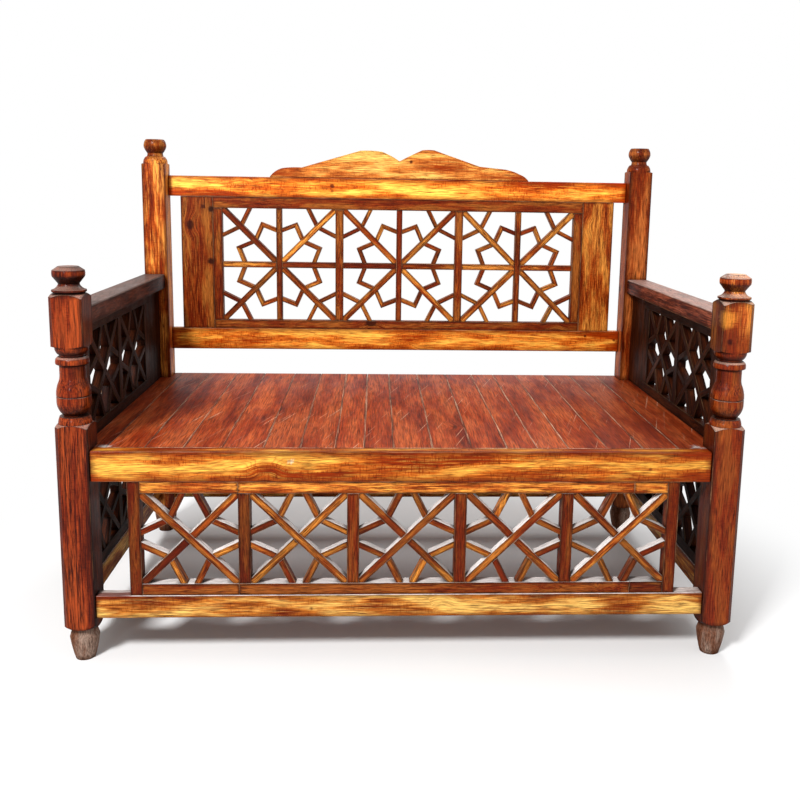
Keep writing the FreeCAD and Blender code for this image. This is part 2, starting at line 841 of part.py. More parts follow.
def panel(label, plan, bay, centre, turn=0):
    """A panel in its place: the frame, and the same bay linked once for each opening."""
    members = panel_frame(label, plan)
    for number in range(plan.bays):
        link = doc.addObject("App::Link", f"{label}_bay_{number}")
        link.LinkedObject = bay
        if number in plan.turned_bays:
            link.Placement = FreeCAD.Placement(Vector(), Rotation(Vector(0, 0, 1), 180))
        x = plan.first_bay + plan.bay_width / 2 + (plan.bay_width + plan.divider) * number
        y = dims.strip_recess + (dims.strip_depth - plan.thick) / 2
        place(link, x, y, plan.rails[0] + plan.bay_height / 2)
        members.append(link)
    item = keep(label, compound(label, members))
    item.Placement = FreeCAD.Placement(Vector(), Rotation(Vector(0, 0, 1), turn))
    place(item, *centre)


def make_panels():
    """The panel under the seat in front, those at both sides and under the arms, and the back."""
    low_height = seat_bottom - stretcher_top
    low_rails = (dims.low_panel_rail, dims.low_panel_rail)
    front = PanelPlan((front_clear - dims.front_panel_gap) * 2, low_height, dims.front_panel_thick,
                      (dims.front_stile, dims.front_stile), (None, None), dims.front_stile,
                      low_rails, FRONT_BAYS, SPLICE_SHARES, TURNED_BAYS)
    side_edges = (dims.side_front_stile, dims.side_wide_stile)
    side_borders = (None, dims.side_rear_stile)
    low_side = PanelPlan(side_run, low_height, dims.panel_thick, side_edges, side_borders,
                         dims.side_divider, low_rails, SIDE_BAYS)
    arm = PanelPlan(side_run, arm_bottom - dims.seat_top, dims.panel_thick, side_edges, side_borders,
                    dims.side_divider, (dims.arm_panel_rail, dims.arm_panel_rail), SIDE_BAYS)
    back = PanelPlan((rear_clear - dims.back_panel_gap) * 2, back_top_rail_bottom - back_low_rail_top,
                     dims.panel_thick, (dims.back_wide_stile, dims.back_wide_stile),
                     (dims.back_stile, dims.back_stile), dims.back_divider,
                     (dims.back_panel_low_rail, dims.back_panel_top_rail), BACK_BAYS)
    front_bay = cross_bay("front_bay", front.bay_width / 2, front.bay_height / 2)
    side_bay = cross_bay("side_bay", low_side.bay_width / 2, low_side.bay_height / 2)
    arm_bay = cross_bay("arm_bay", arm.bay_width / 2, arm.bay_height / 2)
    back_bay = star_bay("back_bay", back.bay_width / 2, back.bay_height / 2)
    panel_y = front_rail_y + dims.panel_recess + dims.front_panel_thick / 2
    panel("front_panel", front, front_bay, (dims.front_panel_shift, panel_y, stretcher_top))
    panel("back_panel", back, back_bay, (0, back_rail_y + dims.back_rail_thick / 2, back_low_rail_top))
    side_y = side_front + side_run / 2
    side_x = side_inner + dims.side_rail_thick / 2
    for name, mirror in (("left", -1), ("right", 1)):
        panel(f"side_panel_{name}", low_side, side_bay, (side_x * mirror, side_y, stretcher_top), turn=90)
        panel(f"arm_panel_{name}", arm, arm_bay, (front_post_x * mirror, side_y, dims.seat_top), turn=90)


def check_document():
    """Stop before anything is written if an object failed or a sub-part is not sound."""
    doc.recompute()
    for item in doc.Objects:
        if any(state in ("Invalid", "Error") for state in item.State):
            raise RuntimeError(f"{item.Name} failed: {item.State}")
    for label, item in parts.items():
        if item.Shape.isNull() or not item.Shape.isValid():
            raise RuntimeError(f"{label} has no sound shape")


def write_parts():
    """Write one file for each sub-part."""
    os.makedirs("parts", exist_ok=True)
    for label, item in parts.items():
        item.Shape.exportStep(f"parts/{label}.step")


def main():
    """Build the bench, check it and write it."""
    make_posts()
    make_rails()
    make_seat()
    make_arms()
    make_back_rails()
    make_panels()
    check_document()
    write_parts()
    whole = Part.makeCompound([item.Shape for item in parts.values()])
    print(f"{len(parts)} sub-parts, {len(whole.Solids)} solids, {whole.BoundBox}")


main()
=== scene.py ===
"""A wooden takht dressed for the camera: stained and varnished softwood round the fixed frame."""

import logging
import math
import random
from dataclasses import dataclass, replace
from enum import Enum

import bpy
import numpy as np
from mathutils import Matrix, Vector


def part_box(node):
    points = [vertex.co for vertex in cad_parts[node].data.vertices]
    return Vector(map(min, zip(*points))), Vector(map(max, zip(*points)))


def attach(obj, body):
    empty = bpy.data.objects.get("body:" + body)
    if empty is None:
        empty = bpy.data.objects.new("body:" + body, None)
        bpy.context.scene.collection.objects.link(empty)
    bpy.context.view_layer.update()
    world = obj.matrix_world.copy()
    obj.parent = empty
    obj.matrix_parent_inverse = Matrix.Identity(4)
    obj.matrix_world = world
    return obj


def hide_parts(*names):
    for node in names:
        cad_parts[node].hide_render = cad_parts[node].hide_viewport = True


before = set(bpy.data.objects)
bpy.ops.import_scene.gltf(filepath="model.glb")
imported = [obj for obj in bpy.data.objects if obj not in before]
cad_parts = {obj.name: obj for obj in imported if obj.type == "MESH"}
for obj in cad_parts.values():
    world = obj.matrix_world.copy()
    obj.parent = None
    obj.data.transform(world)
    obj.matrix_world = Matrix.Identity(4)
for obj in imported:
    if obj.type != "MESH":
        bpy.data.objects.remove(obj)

log = logging.getLogger("takht")

Array = np.ndarray
Tree = bpy.types.NodeTree
Node = bpy.types.Node
Socket = bpy.types.NodeSocket
Triple = tuple[float, float, float]
Shares = tuple[tuple[str, float], ...]

MM = 0.001
BODY = "root"
IMAGE_SIDE = 800
WHITE = (1.0, 1.0, 1.0, 1.0)

# The point attributes that the shaders read: place in the stick, half the stick, lot and tone.
# The tone's brightness also holds the painted shade of some pieces.
STORED = ("grain", "half", "chance", "tone")

# A colour Mix node's sockets, which share their names with its other kinds.
MIX_GROUND, MIX_TONE, MIX_RESULT = 6, 7, 2

# The tree that the sticks are sawn from: distances in metres, angles in radians.
LOT_SPACING = (7.3, 5.1, 3.7)
KNOTS_PER_METRE = (8.0, 11.0, 1.3)
HEART_MIDDLE = (0.0, -0.055, 0.02)
HEART_SPREAD = (0.0, 0.11, 0.06)
SAW_TILT = (0.0, 0.03, 0.05)
RING_TAPER = (0.04, 1.0, 1.0)
RING_PROFILE = ((0.0, 0.25), (0.1, 0.0), (0.6, 0.1), (0.86, 0.8), (0.93, 1.0), (1.0, 0.25))

# How far things wander in the wood, in millimetres.
KNOT_SWERVE_MM = 11.0
RING_SWERVE_MM = 10.0
RING_DRIFT_MM = 20.0
ARRIS_WANDER_MM = 22.0
END_WANDER_MM = 500.0
RUB_WANDER_MM = 6.0

# Where the blotches of the ground turn from dark to middle to light.
STAIN_STOPS = (0.34, 0.46, 0.57)
SCRATCHES_PER_METRE = (5.0, 260.0, 3.0)
SCRATCH_SKEW = 0.3
# How far the smear noise shifts the pale dusty film with painted sheen on faces that look up.
DUST_AND_SHEEN_WANDER = 0.5
RING_RELIEF = 0.5


class Grain(Enum):
    """How the fibres lie in a piece."""

    LONGEST_EDGE = "along its longest edge"
    UPRIGHT = "upright"


class Slot(Enum):
    """The material slots of the record."""

    FRONT_POST = "front_post_wood"
    REAR_POST = "rear_post_wood"
    FOOT = "foot_wood"
    RAIL = "rail_wood"
    BOARD = "board_wood"
    HIDDEN = "hidden_wood"
    ARM = "arm_wood"
    LATTICE = "lattice_wood"


class Pattern(Enum):
    """The wood's irregular patterns: length along the fibres, width across, detail, roughness.

    Lengths are in millimetres. Real fibres are finer than 1 mm, and are drawn as coarse as shows.
    """

    BLOTCH = (210, 36, 5, 0.6)
    PATCH = (170, 44, 3, 0.5)
    STREAK = (85, 3.4, 5, 0.64)
    FIBRE = (34, 1.7, 4, 0.66)
    SAW = (3.2, 15, 3, 0.6)
    SMEAR = (90, 30, 5, 0.6)


def linear(code: str) -> tuple[float, float, float, float]:
    """Turn an sRGB hex code into a linear colour.

    Args:
        code: Six hex digits after a hash sign.

    Returns:
        Red, green, blue and a full alpha.
    """
    shares = (int(code[place:place + 2], 16) / 255 for place in (1, 3, 5))
    return (*(s / 12.92 if s <= 0.04045 else ((s + 0.055) / 1.055) ** 2.4 for s in shares), 1.0)


def add(tree: Tree, kind: str, links: dict, **settings: object) -> Node:
    """Add one node with its settings and links.

    Args:
        tree: The node tree of the material.
        kind: The node's type, without the ShaderNode prefix.
        links: Input name or number to a node, a socket or a constant.
        settings: Properties of the node.

    Returns:
        The new node.
    """
    node = tree.nodes.new(f"ShaderNode{kind}")
    for name, value in settings.items():
        setattr(node, name, value)
    for name, source in links.items():
        if isinstance(source, Node):
            source = source.outputs[0]
        if isinstance(source, Socket):
            tree.links.new(source, node.inputs[name])
        else:
            node.inputs[name].default_value = source
    return node


def set_ramp(node: Node, stops: list[tuple[float, tuple]]) -> Node:
    """Put colour stops on a ramp node.

    Args:
        node: A colour ramp node.
        stops: Place and colour of each stop, in order.

    Returns:
        The same node.
    """
    elements = node.color_ramp.elements
    while len(elements) < len(stops):
        elements.new(0.5)
    for element, (place, colour) in zip(elements, stops):
        element.position = place
        element.color = colour
    return node


@dataclass(frozen=True)
class Wood:
    """What a shader knows of one point of the wood, and the node tree that it works in.

    The place is counted from the middle of the stick, and the lot is that place in the tree. The
    tone holds the stick's brightness and its share of the finish's other tone.
    """

    tree: Tree
    place: Socket
    inward: Node
    chance: Socket
    tone: Node
    lot: Node
    noise: dict[Pattern, Node]

    def over(self, ground: Socket, share: Node | Socket, code: str) -> Socket:
        """Lay one tone over the ground.

        Args:
            ground: The colour so far.
            share: How much of the new tone covers it.
            code: The new tone.

        Returns:
            The colour so far.
        """
        mix = add(self.tree, "Mix", {"Factor": share, MIX_GROUND: ground, MIX_TONE: linear(code)},
                  data_type="RGBA")
        return mix.outputs[MIX_RESULT]

    def edge_distance(self) -> Node:
        """Measure how far the point lies from the nearest arris of its stick.

        Returns:
            The distance in metres.
        """
        along, across, depth = add(self.tree, "SeparateXYZ", {0: self.inward}).outputs
        small = add(self.tree, "Math", {0: across, 1: depth}, operation="MINIMUM")
        large = add(self.tree, "Math", {0: across, 1: depth}, operation="MAXIMUM")
        inner = add(self.tree, "Math", {0: large, 1: along}, operation="MINIMUM")
        return add(self.tree, "Math", {0: small, 1: inner}, operation="MAXIMUM")


@dataclass(frozen=True)
class Spot:
    """A ragged mark at one place: the eye reads a dark one as a knot and a pale one as a scuff.

    The place is in metres from the bench's origin and the radius in millimetres.
    """

    middle: Triple
    radius_mm: float
    tint: str = "#4A1204"
    strength: float = 0.9
    ragged: float = 0.7

    def share(self, wood: Wood) -> Node:
        """Work out how much of the mark lies at a point.

        Args:
            wood: The point of the wood.

        Returns:
            The share of the mark's tint.
        """
        tree, half_ragged = wood.tree, self.ragged * 0.3
        here = add(tree, "TexCoord", {}).outputs["Object"]
        away = add(tree, "VectorMath", {0: here, 1: self.middle}, operation="DISTANCE")
        away = add(tree, "Math", {0: away.outputs["Value"], 1: self.radius_mm * MM},
                   operation="DIVIDE")
        away = add(tree, "Math", {0: wood.noise[Pattern.SAW], 1: self.ragged, 2: away},
                   operation="MULTIPLY_ADD")
        return add(tree, "MapRange", {"Value": away, "From Min": half_ragged + 1.0,
                                      "From Max": half_ragged + 0.55, "To Max": self.strength})


@dataclass(frozen=True)
class WoodFinish:
    """Fir or pine, stained by hand and varnished, in one place's tones.

    The stain sinks into the soft early wood and gathers along arrises and round knots, so the
    eye sees a golden or red ground, dark broken streaks along the fibres, ring lines, saw
    marks across them and nearly black knots. The film of varnish gives the gloss; a pale dusty
    film on the faces that look up is also a painted sheen, and the darkening in grooves,
    corners and joints and under overhangs is painted shade.
    """

    name: str
    light: str
    middle: str
    dark: str
    burn: str
    other: str = "#B0481C"
    worn: str = "#D8A070"
    # Pale tone laid on faces that look up: a dusty film and a painted sheen.
    dust_and_sheen: str = "#CDBBB2"
    scale: float = 1.0
    ring_mm: float = 4.0
    ring_strength: float = 0.45
    streak_strength: float = 0.95
    dark_shift: float = 0.0
    saw_strength: float = 0.4
    edge_mm: float = 12.0
    edge_strength: float = 0.85
    end_mm: float = 0.0
    contour_mm: float = 0.0
    # Painted shade: how far into grooves, corners and joints it reaches, and how dark it gets.
    crevice_shade_mm: float = 14.0
    crevice_shade_strength: float = 0.75
    # Painted shade on the faces that look down.
    underside_shade_strength: float = 0.0
    knot_strength: float = 0.9
    knot_share: float = 0.3
    wear_strength: float = 0.3
    # How much of the dusty film and painted sheen the faces that look up take.
    dust_and_sheen_strength: float = 0.0
    scratch_strength: float = 0.0
    spots: tuple[Spot, ...] = ()
    varnish: float = 0.1
    varnish_roughness: float = 0.2
    roughness: float = 0.5
    bump_mm: float = 0.3

    def material(self) -> bpy.types.Material:
        """Build the material.

        Returns:
            The node material of this finish.
        """
        made = bpy.data.materials.new(self.name)
        made.use_nodes = True
        tree = made.node_tree
        tree.nodes.clear()
        place, half, chance, tone = (
            add(tree, "Attribute", {}, attribute_name=name).outputs["Vector"] for name in STORED
        )
        tone = add(tree, "SeparateXYZ", {0: tone})
        inward = add(tree, "VectorMath", {0: place}, operation="ABSOLUTE")
        inward = add(tree, "VectorMath", {0: half, 1: inward}, operation="SUBTRACT")
        lot = add(tree, "VectorMath", {0: chance, 1: LOT_SPACING, 2: place},
                  operation="MULTIPLY_ADD")
        swirl, core = self.knots(tree, lot)
        bent = add(tree, "CombineXYZ", {"Y": swirl})
        bent = add(tree, "VectorMath", {0: bent, 1: (0, KNOT_SWERVE_MM * MM, 0), 2: lot},
                   operation="MULTIPLY_ADD")
        wood = Wood(tree, place, inward, chance, tone, lot, self.patterns(tree, bent))
        edge = wood.edge_distance()
        rings = self.rings(wood, swirl)
        ground = self.stain(wood, rings)
        ground = self.marks(wood, ground, edge, core)
        ground = self.wear(wood, ground, edge)
        ground = self.gather(wood, ground)
        height = add(tree, "Math", {0: rings, 1: RING_RELIEF, 2: wood.noise[Pattern.FIBRE]},
                     operation="MULTIPLY_ADD")
        bump = add(tree, "Bump", {"Height": height, "Strength": 0.6,
                                  "Distance": self.bump_mm * MM})
        rough = add(tree, "MapRange", {"Value": wood.noise[Pattern.SMEAR],
                                       "From Min": 0.3, "From Max": 0.7,
                                       "To Min": self.roughness - 0.1,
                                       "To Max": self.roughness + 0.12})
        surface = add(tree, "BsdfPrincipled", {
            "Base Color": self.shade(wood, ground), "Roughness": rough,
            "Specular IOR Level": 0.04, "Normal": bump, "Coat Weight": self.varnish,
            "Coat Roughness": self.varnish_roughness, "Coat IOR": 1.5,
        })
        add(tree, "OutputMaterial", {"Surface": surface})
        return made

    def knots(self, tree: Tree, lot: Node) -> tuple[Node, Node]:
        """Scatter a few knots, 10 to 20 mm wide, that run through the thickness.

        Args:
            tree: The material's node tree.
            lot: The place in the wood.

        Returns:
            How much the fibres bend round a knot, and where the knot itself is.
        """
        spread = add(tree, "VectorMath", {0: lot, 1: KNOTS_PER_METRE}, operation="MULTIPLY")
        cell = add(tree, "TexVoronoi", {"Vector": spread, "Scale": 1.0}, feature="F1")
        away = cell.outputs["Distance"]
        draw = add(tree, "SeparateColor", {0: cell.outputs["Color"]})
        there = add(tree, "Math", {0: draw, 1: self.knot_share}, operation="LESS_THAN")
        swirl = add(tree, "MapRange", {"Value": away, "From Min": 0.42, "From Max": 0.05},
                    interpolation_type="SMOOTHERSTEP")
        size = add(tree, "MapRange", {"Value": draw.outputs[1], "To Min": 0.05, "To Max": 0.12})
        core = add(tree, "Math", {0: size, 1: away}, operation="SUBTRACT")
        core = add(tree, "MapRange", {"Value": core, "From Min": -0.03, "From Max": 0.02})
        return tuple(add(tree, "Math", {0: part, 1: there}, operation="MULTIPLY")
                     for part in (swirl, core))

    def patterns(self, tree: Tree, lot: Node) -> dict[Pattern, Node]:
        """Make the irregular patterns at their real sizes.

        Args:
            tree: The material's node tree.
            lot: The place in the wood, bent round the knots.

        Returns:
            One noise for each pattern.
        """
        made = {}
        for pattern in Pattern:
            long, wide, detail, rough = pattern.value
            scale = tuple(1000 / size / self.scale for size in (long, wide, wide))
            stretched = add(tree, "VectorMath", {0: lot, 1: scale}, operation="MULTIPLY")
            made[pattern] = add(tree, "TexNoise", {"Vector": stretched, "Scale": 1.0,
                                                   "Detail": detail, "Roughness": rough})
        return made

    def rings(self, wood: Wood, swirl: Node) -> Node:
        """Draw the growth rings of a stick sawn off centre.

        Args:
            wood: The point of the wood.
            swirl: How much the fibres bend round a knot.

        Returns:
            0 in early wood, 1 on the dark line of late wood.
        """
        tree = wood.tree
        tilt = add(tree, "Mapping", {"Vector": wood.place, "Rotation": SAW_TILT})
        heart = add(tree, "VectorMath", {0: wood.chance, 1: HEART_SPREAD, 2: HEART_MIDDLE},
                    operation="MULTIPLY_ADD")
        away = add(tree, "VectorMath", {0: tilt, 1: heart}, operation="ADD")
        away = add(tree, "VectorMath", {0: away, 1: RING_TAPER}, operation="MULTIPLY")
        radius = add(tree, "VectorMath", {0: away}, operation="LENGTH").outputs["Value"]
        for cause, shift_mm in ((wood.noise[Pattern.PATCH], RING_DRIFT_MM),
                                (swirl, RING_SWERVE_MM)):
            radius = add(tree, "Math", {0: cause, 1: shift_mm * MM, 2: radius},
                         operation="MULTIPLY_ADD")
        turns = add(tree, "Math", {0: radius, 1: self.ring_mm * MM}, operation="DIVIDE")
        share = add(tree, "Math", {0: turns}, operation="FRACT")
        return set_ramp(add(tree, "ValToRGB", {"Fac": share}),
                        [(at, (dark, dark, dark, 1.0)) for at, dark in RING_PROFILE])

    def stain(self, wood: Wood, rings: Node) -> Socket:
        """Lay the stain's tones over the blotches, rings and fibres of the wood.

        Args:
            wood: The point of the wood.
            rings: The growth rings.

        Returns:
            The colour so far.
        """
        tree, noise = wood.tree, wood.noise
        ground = set_ramp(add(tree, "ValToRGB", {"Fac": noise[Pattern.BLOTCH]}), [
            (at + self.dark_shift, linear(code))
            for at, code in zip(STAIN_STOPS, (self.dark, self.middle, self.light))
        ]).outputs[0]
        pale = add(tree, "MapRange", {"Value": noise[Pattern.STREAK],
                                      "From Min": 0.48, "From Max": 0.36,
                                      "To Max": 0.6 * self.streak_strength})
        ground = wood.over(ground, pale, self.light)
        ground = wood.over(ground, wood.tone.outputs[1], self.other)
        ring = add(tree, "Math", {0: rings, 1: self.ring_strength}, operation="MULTIPLY")
        ground = wood.over(ground, ring, self.dark)
        where = add(tree, "MapRange", {"Value": noise[Pattern.PATCH],
                                       "From Min": 0.4, "From Max": 0.56, "To Min": 0.3})
        for pattern, start, full, share, code in (
                (Pattern.STREAK, 0.5, 0.6, 1.0, self.dark),
                (Pattern.FIBRE, 0.56, 0.62, 0.8, self.burn)):
            line = add(tree, "MapRange", {"Value": noise[pattern],
                                          "From Min": start, "From Max": full,
                                          "To Max": share * self.streak_strength})
            line = add(tree, "Math", {0: line, 1: where}, operation="MULTIPLY")
            ground = wood.over(ground, line, code)
        return ground

    def marks(self, wood: Wood, ground: Socket, edge: Node, core: Node) -> Socket:
        """Add saw marks across the fibres, the stain gathered along the arrises, and the knots.

        Args:
            wood: The point of the wood.
            ground: The colour so far.
            edge: The distance from the nearest arris.
            core: Where the knots are.

        Returns:
            The colour so far.
        """
        tree, noise, near = wood.tree, wood.noise, ARRIS_WANDER_MM * MM / 2
        tick = add(tree, "MapRange", {"Value": noise[Pattern.SAW],
                                      "From Min": 0.53, "From Max": 0.6,
                                      "To Max": self.saw_strength})
        where = add(tree, "MapRange", {"Value": noise[Pattern.BLOTCH],
                                       "From Min": 0.55, "From Max": 0.45})
        tick = add(tree, "Math", {0: tick, 1: where}, operation="MULTIPLY")
        ground = wood.over(ground, tick, self.dark)
        ragged = add(tree, "Math", {0: noise[Pattern.STREAK], 1: ARRIS_WANDER_MM * MM, 2: edge},
                     operation="MULTIPLY_ADD")
        burnt = add(tree, "MapRange", {"Value": ragged, "From Min": near + self.edge_mm * MM,
                                       "From Max": near, "To Max": self.edge_strength})
        ground = wood.over(ground, burnt, self.burn)
        knot = add(tree, "Math", {0: core, 1: self.knot_strength}, operation="MULTIPLY")
        return wood.over(ground, knot, self.burn)

    def wear(self, wood: Wood, ground: Socket, edge: Node) -> Socket:
        """Add rubbed arrises, scratches, single marks, and a pale dusty film with painted sheen
        on the faces that look up.

        Args:
            wood: The point of the wood.
            ground: The colour so far.
            edge: The distance from the nearest arris.

        Returns:
            The colour so far.
        """
        tree, smear = wood.tree, wood.noise[Pattern.SMEAR]
        rubbed = add(tree, "Math", {0: smear, 1: -RUB_WANDER_MM * MM, 2: edge},
                     operation="MULTIPLY_ADD")
        worn = add(tree, "MapRange", {"Value": rubbed, "From Min": -0.0016, "From Max": -0.0028,
                                      "To Max": self.wear_strength})
        ground = wood.over(ground, worn, self.worn)
        if self.scratch_strength:
            skew = add(tree, "VectorRotate", {"Vector": wood.lot, "Angle": SCRATCH_SKEW},
                       rotation_type="Z_AXIS")
            skew = add(tree, "VectorMath", {0: skew, 1: SCRATCHES_PER_METRE},
                       operation="MULTIPLY")
            line = add(tree, "TexNoise", {"Vector": skew, "Scale": 1.0, "Detail": 1.0})
            line = add(tree, "MapRange", {"Value": line, "From Min": 0.7, "From Max": 0.76,
                                          "To Max": self.scratch_strength})
            ground = wood.over(ground, line, self.worn)
        for spot in self.spots:
            ground = wood.over(ground, spot.share(wood), spot.tint)
        # Painted sheen with a dusty film: the faces that look up are laid paler.
        if self.dust_and_sheen_strength:
            normal = add(tree, "NewGeometry", {}).outputs["True Normal"]
            normal = add(tree, "SeparateXYZ", {0: normal})
            dust_and_sheen_share = add(tree, "Math", {0: smear, 1: DUST_AND_SHEEN_WANDER, 2: normal.outputs[2]},
                        operation="MULTIPLY_ADD")
            dust_and_sheen_share = add(tree, "MapRange", {"Value": dust_and_sheen_share, "From Min": 0.72, "From Max": 0.9,
                                           "To Max": self.dust_and_sheen_strength})
            ground = wood.over(ground, dust_and_sheen_share, self.dust_and_sheen)
        return ground

    def gather(self, wood: Wood, ground: Socket) -> Socket:
        """Gather the stain towards a rail's ends and on a turned outline, and paint shade below
        and in grooves.

        Args:
            wood: The point of the wood.
            ground: The colour so far.

        Returns:
            The colour so far.
        """
        tree, near = wood.tree, END_WANDER_MM * MM / 2
        if self.end_mm:
            along = add(tree, "SeparateXYZ", {0: wood.inward})
            along = add(tree, "Math", {0: wood.noise[Pattern.BLOTCH], 1: END_WANDER_MM * MM,
                                       2: along}, operation="MULTIPLY_ADD")
            end = add(tree, "MapRange", {"Value": along, "From Min": near + self.end_mm * MM,
                                         "From Max": near - 0.03, "To Max": 0.85})
            ground = wood.over(ground, end, self.dark)
        if self.contour_mm:
            plain = add(tree, "NewGeometry", {}).outputs["True Normal"]
            bent = add(tree, "Bevel", {"Radius": self.contour_mm * MM}, samples=4)
            same = add(tree, "VectorMath", {0: plain, 1: bent}, operation="DOT_PRODUCT")
            turn = add(tree, "MapRange", {"Value": same.outputs["Value"],
                                          "From Min": 0.99, "From Max": 0.86,
                                          "To Max": self.edge_strength})
            ground = wood.over(ground, turn, self.burn)
        # Painted shade: faces that look down are darkened.
        if self.underside_shade_strength:
            facing = add(tree, "SeparateXYZ", {0: add(tree, "NewGeometry", {}).outputs["Normal"]})
            under = add(tree, "MapRange", {"Value": facing.outputs[2],
                                           "From Min": 0.05, "From Max": -0.6,
                                           "To Max": self.underside_shade_strength})
            ground = wood.over(ground, under, self.burn)
        # Painted shade: ambient occlusion darkens grooves, corners and joints.
        open_air = add(tree, "AmbientOcclusion", {"Distance": self.crevice_shade_mm * MM}, samples=6)
        crevice_shade = add(tree, "MapRange", {"Value": open_air.outputs["AO"],
                                      "From Min": 0.85, "From Max": 0.4,
                                      "To Max": self.crevice_shade_strength})
        return wood.over(ground, crevice_shade, self.burn)

    def shade(self, wood: Wood, ground: Socket) -> Socket:
        """Give the stick its own brightness, a little uneven along its fibres.

        Args:
            wood: The point of the wood.
            ground: The colour so far.

        Returns:
            The finished colour.
        """
        tree = wood.tree
        vary = add(tree, "MapRange", {"Value": wood.noise[Pattern.FIBRE],
                                      "From Min": 0.62, "From Max": 0.38,
                                      "To Min": 0.4, "To Max": 0.97})
        own = add(tree, "Math", {0: wood.tone, 1: vary}, operation="MULTIPLY")
        shaded = add(tree, "VectorMath", {0: ground, "Scale": own}, operation="SCALE")
        return add(tree, "VectorMath", {0: shaded, 1: WHITE[:3]},
                   operation="MINIMUM").outputs["Vector"]


def split_solids(mesh: bpy.types.Mesh) -> tuple[Array, list[list[list[int]]]]:
    """Sort the loose triangles of a node into its separate solids.

    A solid is complete when every edge met so far has been met twice.

    Args:
        mesh: The node's mesh, with the solids one after another.

    Returns:
        The merged points, and for each solid its triangles by point number.
    """
    points = np.empty(len(mesh.vertices) * 3, np.float32)
    mesh.vertices.foreach_get("co", points)
    corners = np.empty(len(mesh.polygons) * 3, np.int32)
    mesh.polygons.foreach_get("vertices", corners)
    merged, numbers = np.unique(points.reshape(-1, 3), axis=0, return_inverse=True)
    triangles = numbers.reshape(-1)[corners].reshape(-1, 3).tolist()
    solids: list[list[list[int]]] = []
    current: list[list[int]] = []
    open_edges: set[tuple[int, int]] = set()
    for a, b, c in triangles:
        current.append([a, b, c])
        for first, second in ((a, b), (b, c), (c, a)):
            open_edges ^= {(min(first, second), max(first, second))}
        if not open_edges:
            solids.append(current)
            current = []
    return merged, solids


def number_sticks(count: int, edges: Array) -> Array:
    """Number the connected groups of points.

    Args:
        count: How many points there are.
        edges: Pairs of joined points.

    Returns:
        A group number for each point, from 0.
    """
    roots = np.arange(count)
    while True:
        low = np.minimum(roots[edges[:, 0]], roots[edges[:, 1]])
        before = roots.copy()
        np.minimum.at(roots, edges[:, 0], low)
        np.minimum.at(roots, edges[:, 1], low)
        roots = roots[roots]
        if (roots == before).all():
            break
    return np.unique(roots, return_inverse=True)[1].reshape(-1)


@dataclass(frozen=True)
class Stick:
    """One solid of a piece, with its points, half its length, width and thickness, and chance."""

    piece: str
    places: Array
    half: Array
    draw: random.Random

    def width_mm(self) -> float:
        """Give the whole width in millimetres."""
        return self.half[1] * 2 / MM


